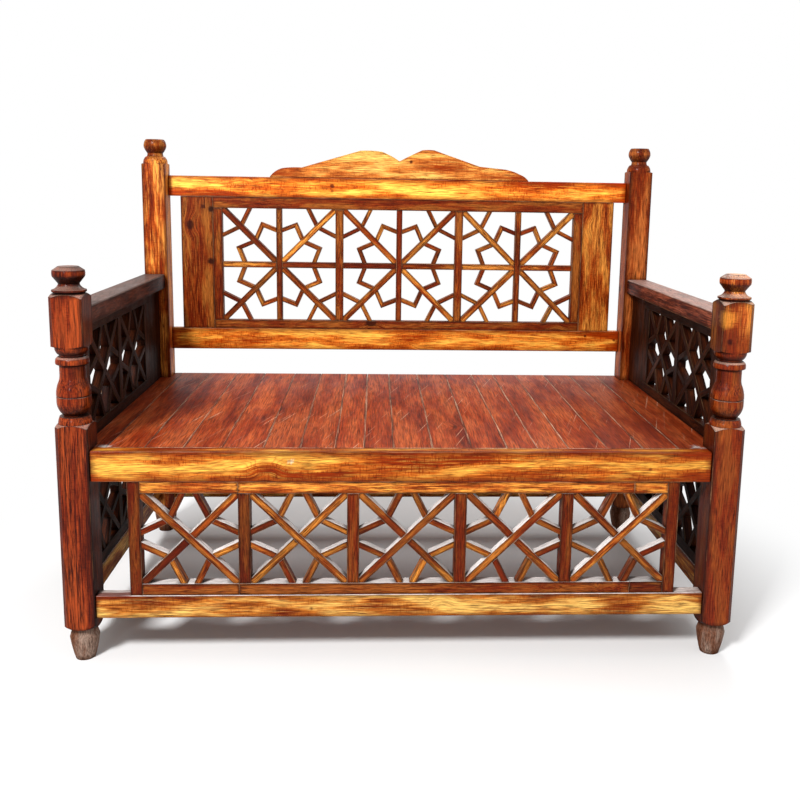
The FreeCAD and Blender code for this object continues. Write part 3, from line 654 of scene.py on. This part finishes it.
@dataclass
class Woodwork:
    """Pieces made from some of the frame's nodes: soft arrises, and a grain of their own."""

    prefixes: tuple[str, ...]
    finish: WoodFinish
    slot: Slot
    arris_mm: float = 1.5
    arris_steps: int = 2
    grain: Grain = Grain.LONGEST_EDGE
    spread: float = 0.15
    other_share: float = 0.0
    brightness: Shares = ()
    level_degrees: float = 0.2
    sharp_degrees: float = 30.0
    smooth_degrees: float = 40.0

    def build(self) -> None:
        """Make one piece for each node."""
        material = self.finish.material()
        for node in sorted(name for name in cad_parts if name.startswith(self.prefixes)):
            piece = self.merged_copy(node)
            self.soften(piece)
            self.lay_grain(piece)
            piece.data.materials.append(material)
            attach(piece, BODY)
            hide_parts(node)
            log.info("%s: %d faces", piece.name, len(piece.data.polygons))

    def merged_copy(self, node: str) -> bpy.types.Object:
        """Copy a node's solids into one mesh in which no two solids share a point.

        Args:
            node: The node's name.

        Returns:
            The new object.
        """
        points, solids = split_solids(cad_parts[node].data)
        places: list[Array] = []
        faces: list[list[int]] = []
        for solid in solids:
            used = sorted({number for triangle in solid for number in triangle})
            shift = {number: len(places) + order for order, number in enumerate(used)}
            places.extend(points[number] for number in used)
            faces.extend([shift[number] for number in triangle] for triangle in solid)
        mesh = bpy.data.meshes.new(f"{node}_wood")
        mesh.from_pydata([tuple(place) for place in places], [], faces)
        piece = bpy.data.objects.new(f"{node}_wood", mesh)
        bpy.context.scene.collection.objects.link(piece)
        return piece

    def soften(self, piece: bpy.types.Object) -> None:
        """Join the flat triangles and round the arrises.

        Args:
            piece: The object to shape.
        """
        bpy.ops.object.select_all(action="DESELECT")
        piece.select_set(True)
        bpy.context.view_layer.objects.active = piece
        bpy.ops.object.mode_set(mode="EDIT")
        bpy.ops.mesh.select_mode(type="EDGE")
        bpy.ops.mesh.select_all(action="SELECT")
        bpy.ops.mesh.dissolve_limited(angle_limit=math.radians(self.level_degrees))
        if self.arris_mm:
            bpy.ops.mesh.select_all(action="DESELECT")
            bpy.ops.mesh.edges_select_sharp(sharpness=math.radians(self.sharp_degrees))
            bpy.ops.mesh.bevel(offset=self.arris_mm * MM, segments=self.arris_steps,
                               clamp_overlap=True)
        bpy.ops.object.mode_set(mode="OBJECT")
        bpy.ops.object.shade_smooth_by_angle(angle=math.radians(self.smooth_degrees))
        level = piece.modifiers.new("level_faces", "WEIGHTED_NORMAL")
        level.keep_sharp = True
        bpy.ops.object.modifier_apply(modifier=level.name)

    def lay_grain(self, piece: bpy.types.Object) -> None:
        """Store for each point its place in its own stick, half that stick, its lot and its tone.

        Args:
            piece: The object whose mesh takes the attributes.
        """
        mesh = piece.data
        points = np.empty(len(mesh.vertices) * 3, np.float32)
        mesh.vertices.foreach_get("co", points)
        points = points.reshape(-1, 3)
        edges = np.empty(len(mesh.edges) * 2, np.int32)
        mesh.edges.foreach_get("vertices", edges)
        edges = edges.reshape(-1, 2)
        sticks = number_sticks(len(points), edges)
        stored = {name: np.empty_like(points) for name in STORED}
        draw = random.Random(piece.name)
        for number in range(sticks.max() + 1):
            inside = sticks == number
            axes = self.axes(points, edges[inside[edges[:, 0]]])
            local = points[inside] @ axes.T
            low, high = local.min(0), local.max(0)
            stick = Stick(piece.name, points[inside], (high - low) / 2, draw)
            stored["grain"][inside] = local - (low + high) / 2
            stored["half"][inside] = stick.half
            stored["chance"][inside] = [draw.random() for _ in range(3)]
            bright, other = self.tone(stick)
            stored["tone"][inside] = np.stack([bright, other, np.zeros(len(other))], axis=1)
        for name, values in stored.items():
            attribute = mesh.attributes.new(name, "FLOAT_VECTOR", "POINT")
            attribute.data.foreach_set("vector", values.astype(np.float32).reshape(-1))

    def axes(self, points: Array, edges: Array) -> Array:
        """Find along, across and depth of one stick.

        Args:
            points: All points of the piece.
            edges: The stick's own edges.

        Returns:
            Three unit rows: along the fibres, across them, and through the thickness.
        """
        if self.grain is Grain.UPRIGHT:
            along = np.array([0.0, 0.0, 1.0])
        else:
            runs = points[edges[:, 1]] - points[edges[:, 0]]
            along = runs[np.argmax((runs ** 2).sum(1))].astype(float)
            along /= np.linalg.norm(along)
        used = points[np.unique(edges)]
        spans = used.max(0) - used.min(0)
        square = [axis for axis in range(3) if abs(along[axis]) < 0.01]
        thin = min(square or [int(np.argmin(abs(along)))], key=lambda axis: spans[axis])
        depth = np.eye(3)[thin]
        across = np.cross(depth, along)
        return np.array([along, across / np.linalg.norm(across), depth])

    def tone(self, stick: Stick) -> tuple[Array, Array]:
        """Choose the brightness of one stick and its share of the finish's other tone.

        Args:
            stick: The stick.

        Returns:
            For each point the brightness, 1 for plain, and the share of the other tone.
        """
        own = next((bright for part, bright in self.brightness if part in stick.piece), 1.0)
        bright = np.full(len(stick.places), own * (1 + self.spread * stick.draw.uniform(-1, 1)))
        return bright, np.full_like(bright, self.other_share * stick.draw.random())


@dataclass
class Upright(Woodwork):
    """A post or a foot: upright grain, and arrises left as they are turned or cut."""

    arris_mm: float = 0.0
    grain: Grain = Grain.UPRIGHT
    spread: float = 0.0


@dataclass
class FrontPost(Upright):
    """A turned front post with its knob, in the finish's other tone below its upper block."""

    slot: Slot = Slot.FRONT_POST
    # Fir flooded with red-brown stain and varnished twice: deep and streaked, with painted shade
    # black in the grooves and below, and a pale dusty film with painted sheen on the faces that
    # look up.
    finish: WoodFinish = WoodFinish(
        "fir_stained_red_brown", "#CE5A24", "#902E0A", "#440E02", "#1E0400", other="#762004",
        dust_and_sheen="#D2AC9A", ring_mm=5.0, ring_strength=0.5, streak_strength=0.9, edge_mm=9,
        contour_mm=3.0, crevice_shade_mm=22, crevice_shade_strength=0.95, underside_shade_strength=0.85,
        dust_and_sheen_strength=0.4, varnish=0.16, varnish_roughness=0.16)
    brightness: Shares = (("finial", 0.78), ("post", 0.93))
    low_share: float = 0.4
    low_top: float = 0.68
    left_share: float = 0.5
    block_mm: float = 66.0
    # Painted shade on the side towards the seat: how dark, and where it begins round the turned
    # wood and on the square block.
    painted_inner_shade: float = 0.45
    dark_from: float = 0.9
    side_from: float = 0.97
    turned_to: float = 0.95

    def tone(self, stick: Stick) -> tuple[Array, Array]:
        """Lay the other tone below and on the left, and paint shade on the side towards the seat.

        Args:
            stick: The stick.

        Returns:
            For each point the brightness, 1 for plain, and the share of the other tone.
        """
        bright, _ = super().tone(stick)
        places, block = stick.places, self.block_mm * MM / 2
        low = np.where(places[:, 2] < self.low_top, self.low_share, 0.0)
        rightward = (places[:, 0] - places[:, 0].min()) / np.ptp(places[:, 0])
        middle = (places.max(0) + places.min(0)) / 2
        from_axis = (places - middle)[:, :2]
        reach = np.linalg.norm(from_axis, axis=1)
        inward = from_axis[:, 0] * -np.sign(middle[0])
        facing = inward / np.maximum(reach, MM)
        # Painted shade: the turned wood darkens round towards the seat, and the square block's
        # seat side is dark.
        turned = np.interp(facing, (0.0, self.dark_from), (1.0, self.painted_inner_shade))
        square = np.where(inward > self.side_from * block, self.painted_inner_shade, 1.0)
        bright = bright * np.where(reach < self.turned_to * block, turned, square)
        return bright, np.maximum(low, self.left_share * (1 - rightward))


@dataclass
class RearPost(Upright):
    """A square rear post with its darker, flattened ball."""

    slot: Slot = Slot.REAR_POST
    # Fir under one thin coat of orange stain: the dark late wood shows through in streaks, and
    # painted shade darkens the grooves and the faces that look down.
    finish: WoodFinish = WoodFinish(
        "fir_stained_orange", "#F29C42", "#B85014", "#6A1C00", "#3E0A00", edge_mm=14,
        contour_mm=3.0, crevice_shade_mm=20, crevice_shade_strength=0.9, underside_shade_strength=0.8)
    brightness: Shares = (("finial", 0.87), ("left", 1.5))


@dataclass
class Feet(Upright):
    """The turned feet, worn bare and grey where they are kicked."""

    prefixes: tuple[str, ...] = ("foot",)
    slot: Slot = Slot.FOOT
    # Fir with its stain kicked off: dull, grey-brown, rough, with faint rings.
    finish: WoodFinish = WoodFinish(
        "bare_worn_fir", "#BEA08E", "#94644E", "#663418", "#4E2812", varnish=0.0,
        roughness=0.65, streak_strength=0.35, ring_strength=0.3, saw_strength=0.1)
    brightness: Shares = (("foot", 0.7),)


@dataclass
class Rails(Woodwork):
    """The rails of the seat and the back: golden, with dark arrises and a few knots."""

    prefixes: tuple[str, ...] = ("seat_rail", "back_rail")
    slot: Slot = Slot.RAIL
    # Rough-sawn pine, stained golden: a bright ground, burnt arrises and ends, dark saw ticks.
    finish: WoodFinish = WoodFinish(
        "pine_stained_golden", "#FFBC4C", "#D2701E", "#862800", "#5A1400", edge_mm=15,
        end_mm=60, saw_strength=0.8, knot_strength=0.35, streak_strength=0.6,
        dark_shift=0.035, spots=(
            Spot((-0.187, 0.372, 0.9875), 9),
            Spot((-0.187, 0.372, 0.974), 6, "#5A1804", 0.7),
            Spot((0.536, 0.372, 0.575), 6),
            Spot((0.62, 0.372, 0.564), 6),
            Spot((0.064, -0.395, 0.424), 6),
            Spot((0.5085, -0.395, 0.4186), 7),
            Spot((-0.2336, -0.395, 0.4345), 12, "#F2D6B0", 0.7, 2.0)))
    arris_mm: float = 2.2
    arris_steps: int = 3
    spread: float = 0.0
    brightness: Shares = (
        ("back_rail_top", 2.1), ("back_rail_low", 1.65), ("seat_rail", 1.1))


@dataclass
class Crest(Rails):
    """The crest that stands on the back, sawn to two peaks."""

    prefixes: tuple[str, ...] = ("back_crest",)
    # Pine sawn to a curve and stained golden: the sawn outline soaked up more and is darker.
    finish: WoodFinish = WoodFinish(
        "pine_sawn_golden", "#FFC866", "#DC8234", "#8E3204", "#5E1802", edge_mm=1,
        contour_mm=9.0, end_mm=60, streak_strength=0.75, dark_shift=0.02,
        spots=(Spot((0.03, 0.372, 1.0567), 7),))
    arris_mm: float = 2.0
    brightness: Shares = (("crest", 1.4),)


@dataclass
class Stretchers(Rails):
    """The low rails near the floor, with a pale dusty film and painted sheen on their upper
    faces.
    """

    prefixes: tuple[str, ...] = ("stretcher",)
    # Pine under a pale golden stain: the lightest wood of the bench, pale on top with a dusty
    # film and painted sheen.
    finish: WoodFinish = WoodFinish(
        "pine_stained_pale_gold", "#FFC868", "#CC7828", "#702000", "#4A1000", dust_and_sheen="#E8DCD6",
        edge_mm=9, edge_strength=0.75, dust_and_sheen_strength=0.9, streak_strength=0.7,
        dark_shift=0.03, end_mm=20, spots=(Spot((-0.194, -0.395, 0.116), 7),))
    arris_mm: float = 2.0
    brightness: Shares = (("stretcher", 1.05),)


@dataclass
class SeatBoards(Woodwork):
    """The eighteen seat boards, scuffed white at the front corners, darker towards the arms:
    painted shadow of the left arm, and a darker stain by the right one.
    """

    prefixes: tuple[str, ...] = ("seat_board",)
    slot: Slot = Slot.BOARD
    # Planed pine, stained red-brown and sat on: even, faintly scratched, pale along the seams.
    finish: WoodFinish = WoodFinish(
        "pine_stained_red", "#C05A2C", "#A23C16", "#701E08", "#340A02", worn="#E8B898",
        dust_and_sheen="#E4D8D2", scale=1.5, ring_strength=0.3, streak_strength=0.4, saw_strength=0.1,
        edge_mm=3, edge_strength=0.7, crevice_shade_strength=0.25, knot_share=0.08,
        knot_strength=0.5, wear_strength=0.75, scratch_strength=0.6,
        varnish_roughness=0.3, spots=(
            Spot((-0.615, -0.352, 0.455), 30, "#E4D8D2", 0.85, 2.6),
            Spot((0.62, -0.35, 0.455), 30, "#E4D8D2", 0.85, 2.6)))
    arris_mm: float = 1.0
    spread: float = 0.09
    # Boards 01 and 02 beside the left arm are darkened as painted shadow of that arm; 16 to 18
    # take a darker stain by the right arm.
    brightness: Shares = (
        ("board_01", 0.6), ("board_02", 0.85), ("board_16", 0.93), ("board_17", 0.8),
        ("board_18", 0.65))


@dataclass
class SeatFraming(Woodwork):
    """The ledger and the bearers under the boards."""

    prefixes: tuple[str, ...] = ("seat_ledger", "seat_bearer")
    slot: Slot = Slot.HIDDEN
    # Pine that was never stained: pale brown and dull.
    finish: WoodFinish = WoodFinish(
        "bare_pine", "#C08A58", "#9A6038", "#704020", "#50280F", varnish=0.0,
        roughness=0.65, edge_strength=0.2)


@dataclass
class ArmRails(Woodwork):
    """The broad arm rails; the left one is the darker."""

    prefixes: tuple[str, ...] = ("arm_rail",)
    slot: Slot = Slot.ARM
    # Fir stained dark and rubbed by hands: nearly black, with a greyish pale film on top that is
    # a dusty film and a painted sheen.
    finish: WoodFinish = WoodFinish(
        "rubbed_fir", "#A0543A", "#642818", "#300C04", "#1C0602", dust_and_sheen="#D8BCB0", edge_mm=6,
        dust_and_sheen_strength=0.4, varnish=0.08)
    brightness: Shares = (("left", 0.45), ("right", 1.07))


@dataclass
class Lattice(Woodwork):
    """Crossed strips in a frame of sticks wider than they are, each stick with its own tone."""

    slot: Slot = Slot.LATTICE
    arris_mm: float = 1.1
    spread: float = 0.25
    frame_mm: float = 20.0


@dataclass
class FrontPanel(Lattice):
    """The panel under the seat: five crossed bays, with a pale dusty film and painted sheen along
    every upper face.
    """

    prefixes: tuple[str, ...] = ("front_panel",)
    # Pine strips stained orange, each to its own depth: bright faces, dark red arrises.
    finish: WoodFinish = WoodFinish(
        "pine_strips_stained_orange", "#F09A3C", "#AC4E14", "#601A00", "#300800",
        other="#741C02", dust_and_sheen="#F6EEEA", scale=0.7, edge_mm=5.5, edge_strength=0.95,
        dust_and_sheen_strength=1.0, knot_share=0.15)
    other_share: float = 1.0
    upright: tuple[float, float] = (0.8, 0.8)
    top_rail: tuple[float, float] = (1.75, 0.0)
    low_rail: tuple[float, float] = (0.8, 0.7)

    def tone(self, stick: Stick) -> tuple[Array, Array]:
        """Tell the pale top rail, the dark low rail and the red uprights from the strips.

        Args:
            stick: The stick.

        Returns:
            For each point the brightness, 1 for plain, and the share of the other tone.
        """
        bright, other = super().tone(stick)
        if stick.width_mm() < self.frame_mm:
            return bright, other
        name, places = stick.piece, stick.places
        low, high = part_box(name.removesuffix("_wood"))
        middle, spans = places.mean(0), np.ptp(places, axis=0)
        if spans[2] > spans[0]:
            factor, share = self.upright
        elif middle[2] > (low[2] + high[2]) / 2:
            factor, share = self.top_rail
        else:
            factor, share = self.low_rail
        return bright * factor, np.full_like(other, share)


@dataclass
class SidePanels(Lattice):
    """The crossed panels at both sides and under the arms: darker than the front, partly as stain
    and partly as painted shade, which is deepest on the faces that the seat and arms shelter.
    """

    prefixes: tuple[str, ...] = ("side_panel", "arm_panel")
    # Fir strips under a heavy dark stain without varnish, with painted shade almost black on the
    # sheltered side.
    finish: WoodFinish = WoodFinish(
        "fir_strips_stained_dark", "#8E4620", "#5E260E", "#2E0C04", "#1C0602",
        other="#421208", scale=0.7, edge_mm=5.5, knot_share=0.15, varnish=0.0)
    spread: float = 0.2
    other_share: float = 0.5
    # Painted shade on the sheltered inner faces; the outer faces are laid a little lighter.
    painted_inner_shade: float = 0.3
    outer_brightness: float = 1.1

    def tone(self, stick: Stick) -> tuple[Array, Array]:
        """Paint shade on the faces that the seat and the arms shelter, and keep the outer ones
        lighter.

        Args:
            stick: The stick.

        Returns:
            For each point the brightness, 1 for plain, and the share of the other tone.
        """
        bright, other = super().tone(stick)
        # Painted shade: only the outermost faces keep the outer brightness.
        out = np.abs(stick.places[:, 0])
        outer = out > out.max() - self.arris_mm * MM / 2
        return bright * np.where(outer, self.outer_brightness, self.painted_inner_shade), other


@dataclass
class BackPanel(Lattice):
    """The panel of three stars between two wide stiles, the left one dark and knotty."""

    prefixes: tuple[str, ...] = ("back_panel",)
    # Pine strips stained gold, each to its own depth: warm faces, dark red-brown arrises.
    finish: WoodFinish = WoodFinish(
        "pine_strips_stained_gold", "#FCA644", "#BC5414", "#5E1800", "#340A00",
        other="#7E2406", scale=0.7, edge_mm=5.5, edge_strength=0.9, spots=(
            Spot((-0.5185, 0.373, 0.9197), 13, "#240602"),
            Spot((-0.5400, 0.373, 0.9260), 12, "#3A0C04", 0.8, 1.5),
            Spot((-0.5215, 0.373, 0.7767), 14, "#240602")))
    other_share: float = 0.9
    wide_mm: float = 80.0
    strip_brightness: float = 1.15
    frame_share: float = 0.7
    left_stile: tuple[float, float] = (0.97, 0.65)
    right_stile: tuple[float, float] = (1.22, 0.3)

    def tone(self, stick: Stick) -> tuple[Array, Array]:
        """Darken the wide stile on the left and redden the frame between the bays.

        Args:
            stick: The stick.

        Returns:
            For each point the brightness, 1 for plain, and the share of the other tone.
        """
        bright, other = super().tone(stick)
        if stick.width_mm() < self.frame_mm:
            return bright * self.strip_brightness, other
        if stick.width_mm() < self.wide_mm:
            return bright, np.full_like(other, self.frame_share)
        own, share = self.left_stile if stick.places.mean(0)[0] < 0 else self.right_stile
        return np.full_like(bright, own), np.full_like(other, share)


@dataclass(frozen=True)
class Lamp:
    """One square soft box: its place and its aim in metres, its side and its power in watts."""

    name: str
    place: Triple
    aim: Triple
    side: float
    watts: float

    def hang(self) -> None:
        """Hang the soft box in the scene, out of the camera's sight."""
        light = bpy.data.lights.new(self.name, "AREA")
        light.shape = "SQUARE"
        light.size = self.side
        light.energy = self.watts
        lamp = bpy.data.objects.new(self.name, light)
        lamp.location = self.place
        lamp.visible_camera = False
        beam = Vector(self.aim) - Vector(self.place)
        lamp.rotation_euler = beam.to_track_quat("-Z", "Y").to_euler()
        bpy.context.scene.collection.objects.link(lamp)


@dataclass
class Studio:
    """The floor, the lamps and the camera.

    A soft key hangs at the upper left, with weak lights at the top, the right and behind, and
    a small one that puts glints on the turned wood.
    """

    lamps: tuple[Lamp, ...] = (
        Lamp("key", (-1.8, -3.4, 3.6), (0, 0, 0.5), 0.8, 305),
        Lamp("glint", (-1.2, -3.0, 1.3), (0, 0, 0.5), 0.25, 8),
        Lamp("top", (0.3, 0.4, 3.6), (0, 0, 0.4), 2.0, 30),
        Lamp("fill", (3.0, -2.4, 1.6), (0, 0, 0.5), 2.0, 11),
        Lamp("rear", (1.2, 3.0, 3.4), (0, 0, 0.5), 1.5, 60),
    )
    ambient: float = 0.33
    floor_side: float = 60.0
    floor_paint: float = 0.8
    fade_start: float = 0.62
    fade_end: float = 1.25
    focal_px: float = 921.1
    yaw: float = -0.0517
    pitch: float = 0.1658
    roll: float = 0.0169
    eye_mm: Triple = (-65.4, -2208.8, 991.0)
    centre_px: tuple[float, float] = (422.0, 340.4)
    sensor_mm: float = 36.0

    def build(self) -> None:
        """Set up everything round the bench."""
        self.floor()
        self.world()
        for lamp in self.lamps:
            lamp.hang()
        self.camera()
        bpy.context.scene.view_settings.view_transform = "Standard"

    def floor(self) -> None:
        """Lay a pale floor that fades into the surround and can be looked through from below."""
        bpy.ops.object.select_all(action="DESELECT")
        bpy.ops.mesh.primitive_plane_add(size=self.floor_side, location=(0, 0, 0))
        floor = bpy.context.object
        floor.name = "floor"
        # Matt emulsion: no gloss, so only the bench's own soft shadow shows on it.
        paint = bpy.data.materials.new("matt_white_floor_paint")
        paint.use_nodes = True
        tree = paint.node_tree
        tree.nodes.clear()
        place = add(tree, "TexCoord", {}).outputs["Object"]
        distance = add(tree, "VectorMath", {0: place}, operation="LENGTH").outputs["Value"]
        fade = add(tree, "MapRange", {"Value": distance, "From Min": self.fade_start,
                                      "From Max": self.fade_end},
                   interpolation_type="SMOOTHSTEP")
        share = add(tree, "Math", {0: fade, 1: self.seen(tree)}, operation="MULTIPLY")
        matt = add(tree, "BsdfDiffuse", {"Color": (*(self.floor_paint,) * 3, 1.0)})
        glow = add(tree, "Emission", {"Color": WHITE, "Strength": 1.0})
        surface = add(tree, "MixShader", {0: share, 1: matt, 2: glow})
        below = add(tree, "NewGeometry", {}).outputs["Backfacing"]
        clear = add(tree, "BsdfTransparent", {})
        surface = add(tree, "MixShader", {0: below, 1: surface, 2: clear})
        add(tree, "OutputMaterial", {"Surface": surface})
        floor.data.materials.append(paint)

    def seen(self, tree: Tree) -> Node:
        """Tell rays that show the surround from those that only carry light.

        Args:
            tree: The node tree of the floor or the world.

        Returns:
            1 for camera, glossy and transmission rays, otherwise 0.
        """
        rays = add(tree, "LightPath", {}).outputs
        seen = add(tree, "Math", {0: rays["Is Camera Ray"], 1: rays["Is Glossy Ray"]},
                   operation="MAXIMUM")
        return add(tree, "Math", {0: seen, 1: rays["Is Transmission Ray"]}, operation="MAXIMUM")

    def world(self) -> None:
        """Make the surround white to the eye and in reflections, and dimmer as a light."""
        world = bpy.data.worlds.new("studio")
        bpy.context.scene.world = world
        world.use_nodes = True
        tree = world.node_tree
        tree.nodes.clear()
        strength = add(tree, "MapRange", {"Value": self.seen(tree), "To Min": self.ambient})
        sky = add(tree, "Background", {"Color": WHITE, "Strength": strength})
        add(tree, "OutputWorld", {"Surface": sky})

    def camera(self) -> None:
        """Stand the camera where the photograph was taken from."""
        forward = Vector((-math.sin(self.yaw) * math.cos(self.pitch),
                          math.cos(self.yaw) * math.cos(self.pitch), -math.sin(self.pitch)))
        level = Vector((math.cos(self.yaw), math.sin(self.yaw), 0))
        above = level.cross(forward)
        right = level * math.cos(self.roll) + above * math.sin(self.roll)
        up = above * math.cos(self.roll) - level * math.sin(self.roll)
        lens = bpy.data.cameras.new("camera")
        lens.sensor_width = self.sensor_mm
        lens.lens = self.focal_px * self.sensor_mm / IMAGE_SIDE
        lens.shift_x = (IMAGE_SIDE / 2 - self.centre_px[0]) / IMAGE_SIDE
        lens.shift_y = (self.centre_px[1] - IMAGE_SIDE / 2) / IMAGE_SIDE
        lens.clip_start = 0.05
        camera = bpy.data.objects.new("camera", lens)
        turn = Matrix((right, up, -forward)).transposed().to_4x4()
        camera.matrix_world = Matrix.Translation(Vector(self.eye_mm) * MM) @ turn
        bpy.context.scene.collection.objects.link(camera)
        bpy.context.scene.camera = camera


def main() -> None:
    """Dress the bench and set it in its studio."""
    logging.basicConfig(level=logging.INFO, format="%(message)s")
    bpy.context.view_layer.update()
    # Fir stained thinly and varnished twice: golden brown above, red below, with a large knot.
    # This finish keeps the red-brown one's painted shade in the grooves and below, and its
    # painted sheen on top.
    golden_brown = replace(
        FrontPost.finish, name="fir_stained_golden_brown", light="#FAA044", middle="#B4501A",
        dark="#541000", burn="#240400", other="#6A1E04", dust_and_sheen="#D8B8A4", ring_strength=0.4,
        streak_strength=0.85, edge_mm=12, knot_share=0.45, spots=(
            Spot((0.645, -0.395, 0.735), 30, "#F09C38", 0.4, 1.0),
            Spot((0.652, -0.395, 0.694), 36, "#5A1A06", 0.6, 1.2),
            Spot((0.654, -0.395, 0.6896), 10, "#2A0602")))
    # Fir under a thicker coat of the orange stain: redder and more even than its fellow.
    # This finish keeps the orange one's painted shade in the grooves and below.
    russet = replace(RearPost.finish, name="fir_stained_russet", light="#DA7836",
                     middle="#A84210", dark="#641600", burn="#360800")
    woodwork = [
        FrontPost(("post_front_left", "finial_front_left")),
        FrontPost(("post_front_right", "finial_front_right"), finish=golden_brown,
                  low_share=0.9, left_share=0.4, brightness=(("finial", 1.75), ("post", 1.5))),
        RearPost(("post_rear_left", "finial_rear_left")),
        RearPost(("post_rear_right", "finial_rear_right"), finish=russet),
        Feet(), Rails(), Crest(), Stretchers(), SeatBoards(), SeatFraming(), ArmRails(),
        FrontPanel(), SidePanels(), BackPanel(),
    ]
    for pieces in woodwork:
        pieces.build()
    Studio().build()


if __name__ == "__main__":
    main()
